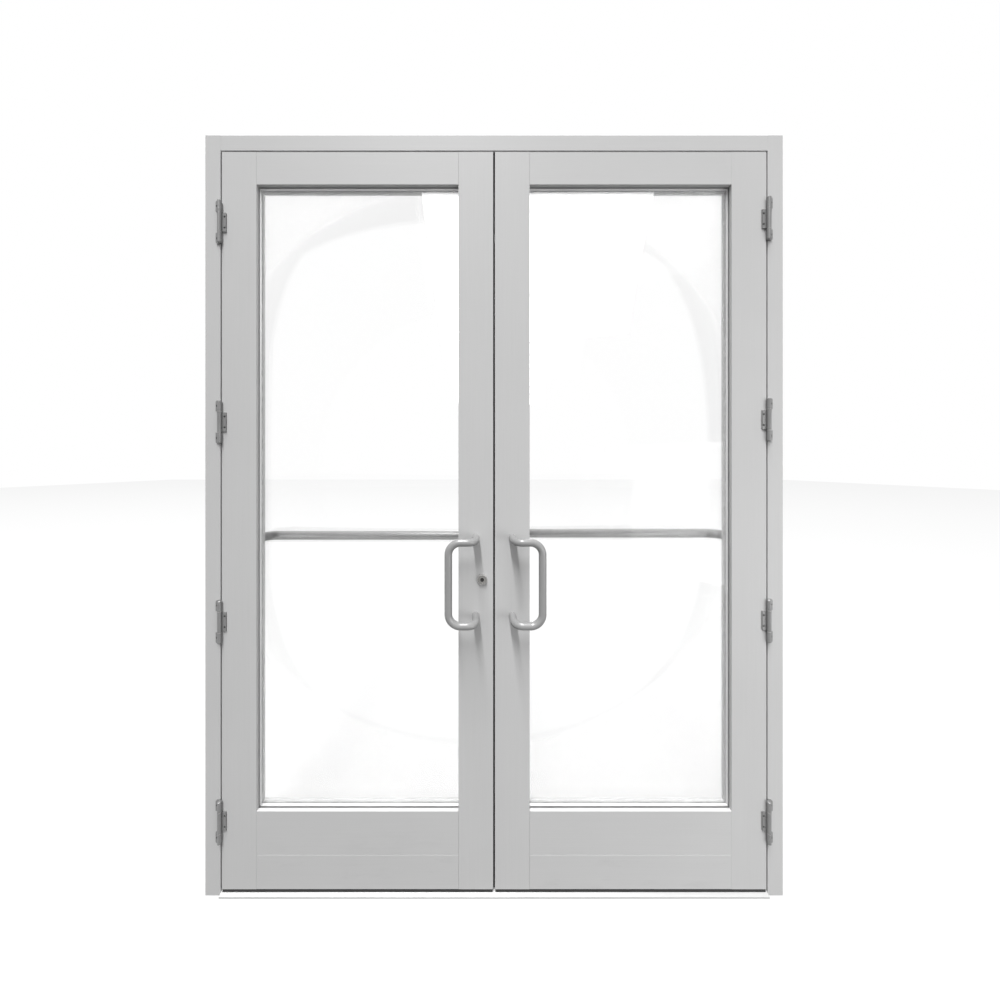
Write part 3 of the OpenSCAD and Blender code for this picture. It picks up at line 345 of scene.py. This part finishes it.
WHITE = (1.0, 1.0, 1.0, 1.0)
UPRIGHT = (900.0, 900.0, 5.0)
LEVEL = (5.0, 900.0, 900.0)
ROUND = (400.0, 400.0, 400.0)
ALONG_BAR = (40.0, 900.0, 1.0)


def anodised(name, level, grain, scuffed=False):
    """Satin anodised aluminium: faint die lines along the extrusion over a soft mottle.

    A scuffed one also has thin wipe marks that fade out above the kick rail.
    """
    f = Finish(name)
    lines = f.noise(1.0, 3.0, 0.6, f.stretched(grain))
    cloud = f.noise(2.2, 3.0, 0.5)
    fine = f.noise(1400.0, 2.0, 0.5)
    streak = f.span(lines, 0.3, 0.7, -0.010, 0.010)
    mottle = f.span(cloud, 0.3, 0.7, -0.012, 0.012)
    tone = f.maths("ADD", f.maths("ADD", streak, mottle), level)
    rough = f.maths("ADD", f.span(fine, 0.3, 0.7, -0.03, 0.03), f.span(cloud, 0.3, 0.7, 0.58, 0.64))
    if scuffed:
        height = f.node("ShaderNodeSeparateXYZ", {"Vector": f.place}).outputs["Z"]
        low = f.span(height, 0.04, 0.26, 1.0, 0.0)
        marks = f.span(f.noise(9.0, 6.0, 0.65, f.stretched((0.5, 1.0, 1.8))), 0.55, 0.75, 0.0, 0.05)
        marks = f.maths("MULTIPLY", marks, low)
        tone = f.maths("SUBTRACT", tone, marks)
        rough = f.maths("ADD", rough, marks)
    f.set(Base_Color=f.grey(tone), Metallic=0.04, Roughness=rough, Specular_IOR_Level=0.14)
    f.set(Normal=f.bump(fine, 0.05, 0.00004, f.bump(lines, 0.06, 0.00005)))
    return f.mat


def coated(name, level):
    """Hinge metal: a darker satin coat with a fine grain."""
    f = Finish(name)
    fine = f.noise(900.0, 3.0, 0.6)
    cloud = f.noise(30.0, 3.0, 0.5)
    mottle = f.span(cloud, 0.3, 0.7, level*0.94, level*1.06)
    tone = f.maths("ADD", mottle, f.span(fine, 0.3, 0.7, -0.008, 0.008))
    f.set(Base_Color=f.grey(tone), Metallic=0.4, Roughness=f.span(fine, 0.3, 0.7, 0.34, 0.42))
    f.set(Normal=f.bump(fine, 0.12, 0.00008))
    return f.mat


def brushed(name, level, grain, metallic, rough, tint=(1.0, 1.0, 1.0), own_map=False):
    """Brushed metal: fine scratches along one direction in tone, gloss and relief."""
    f = Finish(name, own_map)
    scratch = f.noise(1.0, 5.0, 0.7, f.stretched(grain))
    cloud = f.noise(8.0, 3.0, 0.5)
    streak = f.span(scratch, 0.25, 0.75, level*0.93, level*1.07)
    tone = f.maths("MULTIPLY", streak, f.span(cloud, 0.3, 0.7, 0.98, 1.02))
    f.set(Base_Color=f.grey(tone, tint), Metallic=metallic)
    f.set(Roughness=f.span(scratch, 0.2, 0.8, rough - 0.04, rough + 0.05))
    f.set(Normal=f.bump(scratch, 0.15, 0.00005))
    return f.mat


def rubber(name, level):
    """Matt seal rubber with a faint bloom."""
    f = Finish(name)
    bloom = f.noise(60.0, 4.0, 0.6)
    fine = f.noise(1500.0, 2.0, 0.5)
    f.set(Base_Color=f.grey(f.span(bloom, 0.3, 0.7, level*0.8, level*1.25)))
    f.set(Roughness=f.span(bloom, 0.3, 0.7, 0.66, 0.80), Normal=f.bump(fine, 0.2, 0.00006))
    return f.mat


def pile_cloth(name, level):
    """Dense pile: dark fibres, each a little lighter or darker than the next."""
    f = Finish(name)
    fibre = f.noise(1.0, 2.0, 0.6, f.stretched((400.0, 2600.0, 2600.0)))
    f.set(Base_Color=f.grey(f.span(fibre, 0.25, 0.75, level*0.5, level*1.8)), Roughness=0.95)
    f.set(Specular_IOR_Level=0.05)
    f.set(Normal=f.bump(fibre, 0.6, 0.0003))
    return f.mat


def bearing_nylon(name):
    """Off-white bearing nylon, slightly waxy."""
    f = Finish(name)
    fine = f.noise(700.0, 3.0, 0.5)
    f.set(Base_Color=f.blend(f.span(fine, 0.3, 0.7), grey(0.72), grey(0.78, (1.0, 1.0, 0.97))))
    f.set(Roughness=f.span(fine, 0.3, 0.7, 0.38, 0.48), Normal=f.bump(fine, 0.1, 0.00005))
    return f.mat


def float_glass(name):
    """Clear float glass with a trace of green that drifts across the pane."""
    f = Finish(name)
    drift = f.noise(1.3, 2.0, 0.4)
    f.set(Base_Color=f.blend(f.span(drift, 0.3, 0.7), (0.997, 1.0, 0.998, 1.0), (0.999, 1.0, 0.999, 1.0)))
    f.set(Roughness=0.0, IOR=1.5, Transmission_Weight=1.0, Alpha=0.1)
    return f.mat


def spacer_metal(name):
    """Bright roll-formed spacer bar with regular fine vent marks."""
    f = Finish(name)
    grain = f.noise(1.0, 3.0, 0.6, f.stretched((300.0, 1200.0, 300.0)))
    vents = f.node("ShaderNodeTexVoronoi", {"Vector": f.place, "Scale": 250.0,
        "Randomness": 0.0}).outputs["Distance"]
    tone = f.maths("MULTIPLY", f.span(grain, 0.3, 0.7, 0.78, 0.86), f.span(vents, 0.30, 0.60, 0.86, 1.0))
    f.set(Base_Color=f.grey(tone), Metallic=0.2, Roughness=f.span(grain, 0.3, 0.7, 0.36, 0.46))
    f.set(Normal=f.bump(vents, 0.1, 0.0002))
    return f.mat


GREY_LEVEL = 0.52
MATERIAL = {
    "upright": anodised("grey_anodised_upright", GREY_LEVEL, UPRIGHT),
    "level": anodised("grey_anodised_level", GREY_LEVEL, LEVEL),
    "kick": anodised("grey_anodised_kick_rail", GREY_LEVEL, LEVEL, scuffed=True),
    "hinge": coated("hinge_grey", 0.22),
    "handle": brushed("satin_handle", 0.27, ALONG_BAR, 0.1, 0.29, own_map=True),
    # painted shade: the bars take the same satin metal as the pulls but darker, standing in for the shade
    # they sit in behind the glass
    "bar": brushed("shaded_satin_bar", 0.20, ALONG_BAR, 0.1, 0.29, own_map=True),
    "lock": brushed("satin_lock", 0.42, ROUND, 0.3, 0.34, (1.0, 0.99, 0.97)),
    "cylinder": brushed("worn_cylinder", 0.24, ROUND, 0.3, 0.36, (1.0, 0.98, 0.94)),
    # painted shade: the key plug is made nearly black so that the keyhole reads as dark; the black stands
    # in for the shade in the keyway
    "plug": brushed("keyhole_shade_plug", 0.03, ROUND, 0.3, 0.40, (1.0, 0.98, 0.94)),
    "steel": brushed("zinc_steel", 0.42, ROUND, 0.7, 0.36, (0.99, 1.0, 1.02)),
    # painted shade: the hinge screws are made nearly black so that they read as dark spots, standing in for
    # the shade inside their recesses
    "recess_shade_steel": brushed("recess_shade_steel", 0.06, ROUND, 0.3, 0.45),
    "mill": brushed("mill_aluminium", 0.48, LEVEL, 0.15, 0.44),
    "glass": float_glass("clear_glass"),
    "rubber": rubber("seal_rubber", 0.014),
    "gasket": rubber("glazing_rubber", 0.16),
    # painted light: the inner gasket and setting blocks are made pale grey, lighter than the outer gasket,
    # to stand in for the light that reaches them from behind the door
    "painted_light_gasket": rubber("glazing_rubber_painted_light", 0.70),
    "pile": pile_cloth("black_pile", 0.012),
    "nylon": bearing_nylon("bearing_nylon"),
    "spacer": spacer_metal("spacer_bar"),
    "sealant": rubber("edge_sealant", 0.02),
}

FINISH_OF = {
    "upright": ("left_jamb", "right_jamb", "left_hinge_stile", "left_lock_stile", "right_hinge_stile",
        "right_meeting_stile", "left_glass_stops", "right_glass_stops", "door_stops"),
    "level": ("head", "left_top_rail", "right_top_rail"),
    "kick": ("left_bottom_rail", "right_bottom_rail"),
    "hinge": ("frame_hinge_knuckles", "left_leaf_knuckles", "right_leaf_knuckles"),
    "mill": ("threshold", "left_corner_blocks", "right_corner_blocks"),
    "lock": ("cylinder_collar", "thumbturn_housing", "thumbturn"),
    "cylinder": ("lock_cylinder",),
    # painted shade: the key plug takes the nearly black finish that stands in for the keyhole's shade
    "plug": ("key_plug",),
    "glass": ("left_glass_panes", "right_glass_panes"),
    "rubber": ("stop_seals", "left_bottom_sweep", "right_bottom_sweep"),
    "nylon": ("hinge_bushes",),
    "steel": ("head_screws", "hinge_pins", "frame_nut_plates", "head_bolt_strike",
        "left_tie_rods", "right_tie_rods", "left_pull_bolts", "right_pull_bolts",
        "left_nut_plates", "right_nut_plates", "lock_case", "lock_bolt",
        "lock_strike", "flush_bolt_plates", "top_bolt", "bottom_bolt"),
    # the hinge screws take the nearly black steel that is painted recess shade
    "recess_shade_steel": ("frame_hinge_screws", "left_leaf_screws", "right_leaf_screws"),
}
FINISH = {node: MATERIAL[key] for key, nodes in FINISH_OF.items() for node in nodes}

# how far the edges of each visible part are eased, in millimetres
EASE = {
    0.5: ("left_jamb", "right_jamb", "head", "left_hinge_stile", "left_lock_stile", "left_top_rail",
        "left_bottom_rail", "right_hinge_stile", "right_meeting_stile", "right_top_rail",
        "right_bottom_rail", "cylinder_collar", "thumbturn_housing"),
    0.25: ("door_stops", "left_glass_stops", "right_glass_stops", "threshold", "lock_cylinder", "key_plug",
        "lock_case", "lock_strike", "flush_bolt_plates", "frame_hinge_screws", "left_leaf_screws",
        "right_leaf_screws", "left_pull_bolts", "right_pull_bolts"),
    0.4: ("stop_seals", "left_bottom_sweep", "right_bottom_sweep", "lock_bolt", "left_glass_panes",
        "right_glass_panes", "top_bolt", "bottom_bolt", "hinge_bushes"),
    0.9: ("frame_hinge_knuckles", "left_leaf_knuckles", "right_leaf_knuckles", "thumbturn"),
}

for node, finish in FINISH.items():
    NODES[node].data.materials.clear()
    NODES[node].data.materials.append(finish)
for width, nodes in EASE.items():
    for node in nodes:
        eased(node, FINISH[node], width*MM)


# ---- pull handles and push bars --------------------------------------------------------

PULL_RADIUS = 12*MM
LEG_BEND = 28*MM
GRIP_BEND = 38*MM
BAR_RADIUS = 15.9*MM
BAR_BEND = 40*MM
FOOT_WIDTH = 32.2*MM
FOOT_THICK = 5*MM
BEND_STEPS = 18
PULL_SIDES = 48
BAR_SIDES = 56
OUTLINE_POINTS = 48


def body_of(node):
    """The name of the body that a CAD node moves with."""
    return NODES[node]["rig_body"]


def pull_handle(side, sign):
    """A bent round bar: two legs off the stile, sideways runs, and an upright grip."""
    node = f"{side}_pull_handle"
    low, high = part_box(node)
    leg = (high.x if sign < 0 else low.x) + sign*PULL_RADIUS
    grip = (low.x if sign < 0 else high.x) - sign*PULL_RADIUS
    out = low.y + PULL_RADIUS
    bottom = low.z + PULL_RADIUS
    top = high.z - PULL_RADIUS
    corners = [(leg, high.y, bottom), (leg, out, bottom), (grip, out, bottom),
        (grip, out, top), (leg, out, top), (leg, high.y, top)]
    path = rounded_path(corners, [LEG_BEND, GRIP_BEND, GRIP_BEND, LEG_BEND], BEND_STEPS)
    make_piece(f"{side}_pull", round_bar(path, PULL_RADIUS, PULL_SIDES), MATERIAL["handle"], body_of(node),
        (node,))


def foot_plate(x, z, y, width, height, thick, corner=4*MM, ease=1.2*MM):
    """A plate with round corners against the plane y: its outline is kept, then drawn in.

    Each ring is the outline of a rounded rectangle; the last is smaller by the easing.
    """
    n = OUTLINE_POINTS
    turn = np.linspace(0, 2*math.pi, n, endpoint=False) + math.pi/n
    rings = []
    for rise, shrink in ((0.0, 0.0), (thick - ease, 0.0), (thick - ease*0.3, ease*0.3), (thick, ease)):
        r = corner - shrink
        across = np.sign(np.cos(turn))*(width/2 - corner) + r*np.cos(turn)
        upward = np.sign(np.sin(turn))*(height/2 - corner) + r*np.sin(turn)
        rings.append(np.stack([x + across, np.full_like(across, y + rise), z + upward], -1))
    points = np.concatenate(rings)
    faces = grid_faces(len(rings), n, False, True).tolist()
    faces += [list(range(n)), list(range(len(points) - n, len(points)))]
    return points, faces, points[:, (0, 2)]


def push_bar(side):
    """A bent tube across the inside of a leaf, each end on an eased foot plate."""
    node = f"{side}_push_bar"
    low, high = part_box(node)
    a = low.x + FOOT_WIDTH/2
    b = high.x - FOOT_WIDTH/2
    mid = (low.z + high.z)/2
    out = high.y - BAR_RADIUS
    start = low.y + FOOT_THICK*0.5
    path = rounded_path([(a, start, mid), (a, out, mid), (b, out, mid), (b, start, mid)],
        [BAR_BEND, BAR_BEND], BEND_STEPS)
    feet = [foot_plate(x, mid, low.y, FOOT_WIDTH, high.z - low.z, FOOT_THICK) for x in (a, b)]
    # the bars' darker satin metal is painted shade
    make_piece(f"{side}_bar", join([round_bar(path, BAR_RADIUS, BAR_SIDES)] + feet), MATERIAL["bar"],
        body_of(node), (node,))


for side, sign in (("left", -1), ("right", 1)):
    pull_handle(side, sign)
    push_bar(side)


# ---- seals and spacers round the glass -------------------------------------------------

GASKET_HIGH = 7.6*MM
BAR_HIGH = 6.6*MM
GLASS_BITE = 12.5*MM
SEAL_SET_BACK = 0.4*MM
SEAL_SMOOTH = 50.0
BLOCK_LONG = 100*MM
SPACER_CORNER = 0.7*MM
SPACER_OF_GLASS = 9*MM
PANE = 5*MM


def bulb(depth, back, high):
    """The section of a gasket from y = depth to back: flat below, with a rounded lip above."""
    mid = (depth + back)/2
    half = abs(back - depth)/2
    t = np.linspace(0, math.pi, 7)
    lip = [(half*(1 - math.sin(a)), mid + half*math.cos(a)) for a in t]
    return [(high, mid - half), (high, mid + half)] + lip


def glass_edges(side):
    """The gaskets on both faces of the glass, the setting blocks, the spacer and its sealant."""
    body = body_of(f"{side}_glass_panes")
    seals = f"{side}_glazing_seals"
    low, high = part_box(seals)
    glass_low, glass_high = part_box(f"{side}_glass_panes")
    x = (glass_low.x + glass_high.x)/2
    z = (glass_low.z + glass_high.z)/2
    half_w = (glass_high.x - glass_low.x)/2
    half_h = (glass_high.z - glass_low.z)/2
    day_w = half_w - GLASS_BITE
    day_h = half_h - GLASS_BITE
    lip_w = day_w + SEAL_SET_BACK
    lip_h = day_h + SEAL_SET_BACK
    shapes = [band_round(bulb(y0, y1, GASKET_HIGH), lip_w, lip_h, (x, 0, z))
        for y0, y1 in ((low.y, glass_low.y), (glass_high.y, high.y))]
    for step in (-1, 1):
        slab = foot_plate(x + step*half_w/2, 0, 0, BLOCK_LONG, glass_high.y - glass_low.y,
            glass_low.z - low.z, 1*MM, 0.4*MM)[:2]
        turned = slab[0][:, (0, 2, 1)]
        turned[:, 1] += (glass_low.y + glass_high.y)/2
        turned[:, 2] += low.z
        shapes.append((turned, slab[1]))
    make_piece(f"{side}_outer_gasket", shapes[0], MATERIAL["gasket"], body,
        (seals,), SEAL_SMOOTH)
    # the inner gasket's pale rubber is painted light
    make_piece(f"{side}_inner_gasket", join(shapes[1:]), MATERIAL["painted_light_gasket"], body,
        (), SEAL_SMOOTH)
    front = glass_low.y + PANE
    back = front + SPACER_OF_GLASS
    e = SPACER_CORNER
    bar = [(e, front), (0, front + e), (0, back - e), (e, back), (BAR_HIGH, back), (BAR_HIGH, front)]
    make_piece(f"{side}_spacer", band_round(bar, day_w, day_h, (x, 0, z)), MATERIAL["spacer"], body,
        (f"{side}_glass_spacer",))
    fill = [(BAR_HIGH, front), (BAR_HIGH, back), (GLASS_BITE, back), (GLASS_BITE, front)]
    make_piece(f"{side}_edge_sealant", band_round(fill, day_w, day_h, (x, 0, z)), MATERIAL["sealant"], body)


PILE_TUFTS = 900
PILE_UNEVEN = 0.5*MM
PILE_HALF = 1.8*MM
PILE_BACKING = 1*MM


def pile_strip():
    """The pile in the meeting gap: a narrow brush whose tips rise and fall from fibre to fibre."""
    low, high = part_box("meeting_seal")
    rng = np.random.default_rng(7)
    rows = PILE_TUFTS
    z = np.linspace(low.z, high.z, rows)
    mid = (low.y + high.y)/2
    reach = high.x - rng.uniform(0.0, PILE_UNEVEN, rows)
    base = low.x + PILE_BACKING
    half = PILE_HALF
    outline = [(0.0, -half), (0.80, -half), (0.97, -half*0.6), (1.0, 0.0), (0.97, half*0.6),
        (0.80, half), (0.0, half)]
    x = base + np.array([o[0] for o in outline])[None, :]*(reach - base)[:, None]
    y = mid + np.array([o[1] for o in outline])[None, :]*rng.uniform(0.9, 1.0, (rows, 1))
    points = np.stack([x, y, np.broadcast_to(z[:, None], x.shape)], -1).reshape(-1, 3)
    n = len(outline)
    faces = grid_faces(rows, n, False, True).tolist()
    faces += [list(range(n)), list(range((rows - 1)*n, rows*n))]
    width = high.y - low.y
    backing = foot_plate((low.x + base)/2, 0, 0, base - low.x, width, high.z - low.z, 0.3*MM, 0.1*MM)[:2]
    strip = backing[0][:, (0, 2, 1)] + np.array([0.0, mid, low.z])
    make_piece("pile_strip", join([(points, faces), (strip, backing[1])]), MATERIAL["pile"],
        body_of("meeting_seal"), ("meeting_seal",))


for side in ("left", "right"):
    glass_edges(side)
pile_strip()


# ---- the room --------------------------------------------------------------------------

SKY_HIGH = 1.05
SKY_LOW = 0.15
FLOOR_BOUNCE = 0.08
FLOOR_GLOW = 0.80
FLOOR_SHOWN = 0.13
FLOOR_SIZE = 30.0
FLOOR_DROP = 0.3*MM


def seen_as_white(tree, plain, white):
    """Mixes a plain shader with a white one that only camera, gloss and clear views see."""
    path = tree.nodes.new("ShaderNodeLightPath")
    seen = path.outputs["Is Camera Ray"]
    for ray in ("Is Glossy Ray", "Is Transmission Ray"):
        most = tree.nodes.new("ShaderNodeMath")
        most.operation = "MAXIMUM"
        tree.links.new(seen, most.inputs[0])
        tree.links.new(path.outputs[ray], most.inputs[1])
        seen = most.outputs["Value"]
    mix = tree.nodes.new("ShaderNodeMixShader")
    tree.links.new(seen, mix.inputs["Fac"])
    tree.links.new(plain, mix.inputs[1])
    tree.links.new(white, mix.inputs[2])
    return mix.outputs[0]


def make_world():
    """Soft light from all round, stronger from above, with a white background."""
    world = bpy.data.worlds.new("studio")
    bpy.context.scene.world = world
    world.use_nodes = True
    tree = world.node_tree
    soft = tree.nodes["Background"]
    soft.inputs["Color"].default_value = WHITE
    where = tree.nodes.new("ShaderNodeTexCoord")
    axes = tree.nodes.new("ShaderNodeSeparateXYZ")
    tree.links.new(where.outputs["Generated"], axes.inputs["Vector"])
    rise = tree.nodes.new("ShaderNodeMapRange")
    rise.inputs["From Min"].default_value = 0.0
    rise.inputs["From Max"].default_value = 0.9
    rise.inputs["To Min"].default_value = SKY_LOW
    rise.inputs["To Max"].default_value = SKY_HIGH
    tree.links.new(axes.outputs["Z"], rise.inputs["Value"])
    tree.links.new(rise.outputs["Result"], soft.inputs["Strength"])
    white = tree.nodes.new("ShaderNodeBackground")
    white.inputs["Color"].default_value = WHITE
    tree.links.new(seen_as_white(tree, soft.outputs[0], white.outputs[0]),
        tree.nodes["World Output"].inputs["Surface"])


def make_floor():
    """A pale floor: white where it is lit, a little grey where the door shades it."""
    mat = bpy.data.materials.new("pale_floor")
    mat.use_nodes = True
    tree = mat.node_tree
    tree.nodes.remove(tree.nodes["Principled BSDF"])
    bounce = tree.nodes.new("ShaderNodeBsdfDiffuse")
    bounce.inputs["Color"].default_value = grey(FLOOR_BOUNCE)
    shown = tree.nodes.new("ShaderNodeBsdfDiffuse")
    shown.inputs["Color"].default_value = grey(FLOOR_SHOWN)
    glow = tree.nodes.new("ShaderNodeEmission")
    glow.inputs["Strength"].default_value = FLOOR_GLOW
    both = tree.nodes.new("ShaderNodeAddShader")
    tree.links.new(glow.outputs[0], both.inputs[0])
    tree.links.new(shown.outputs[0], both.inputs[1])
    tree.links.new(seen_as_white(tree, bounce.outputs[0], both.outputs[0]),
        tree.nodes["Material Output"].inputs["Surface"])
    s = FLOOR_SIZE
    mesh = bpy.data.meshes.new("floor")
    corners = [(x, y, -FLOOR_DROP) for x, y in ((-s, -s), (s, -s), (s, s), (-s, s))]
    mesh.from_pydata(corners, [], [(0, 1, 2, 3)])
    mesh.materials.append(mat)
    put_in_scene(bpy.data.objects.new("floor", mesh))


def soft_box(name, place, aim, size, power):
    """A square soft light at a place, turned towards a point."""
    lamp = bpy.data.lights.new(name, "AREA")
    lamp.shape = "SQUARE"
    lamp.size = size
    lamp.energy = power
    obj = put_in_scene(bpy.data.objects.new(name, lamp))
    obj.location = place
    obj.rotation_euler = (Vector(aim) - Vector(place)).to_track_quat("-Z", "Y").to_euler()


def strip_light(name, place, width, length, power):
    """A long lamp high above, facing down, that runs away from the front of the door."""
    lamp = bpy.data.lights.new(name, "AREA")
    lamp.shape = "RECTANGLE"
    lamp.size = width
    lamp.size_y = length
    lamp.energy = power
    put_in_scene(bpy.data.objects.new(name, lamp)).location = place


CAMERA_LENS = 11.364
CAMERA_SHIFT = (0.025, -0.035)
CAMERA_PLACE = (-0.0638, -1.112, 1.4384)


def make_camera():
    """A wide lens square on to the door, at standing height."""
    lens = bpy.data.cameras.new("view")
    lens.sensor_width = 36.0
    lens.lens = CAMERA_LENS
    lens.shift_x, lens.shift_y = CAMERA_SHIFT
    lens.clip_start = 0.02
    lens.clip_end = 200.0
    obj = put_in_scene(bpy.data.objects.new("view", lens))
    obj.location = CAMERA_PLACE
    obj.rotation_euler = (math.radians(90.0), 0.0, 0.0)
    bpy.context.scene.camera = obj


make_world()
make_floor()
strip_light("key", place=(-3.0, -12.0, 25.0), width=1.3, length=20.0, power=10800.0)
soft_box("right_fill", place=(2.6, -2.6, 0.9), aim=(0.2, 0.0, 1.1), size=1.6, power=34.0)
soft_box("back_fill", place=(0.6, 4.5, 4.2), aim=(0.0, 0.0, 1.2), size=2.5, power=90.0)
make_camera()
bpy.context.scene.view_settings.view_transform = "Standard"
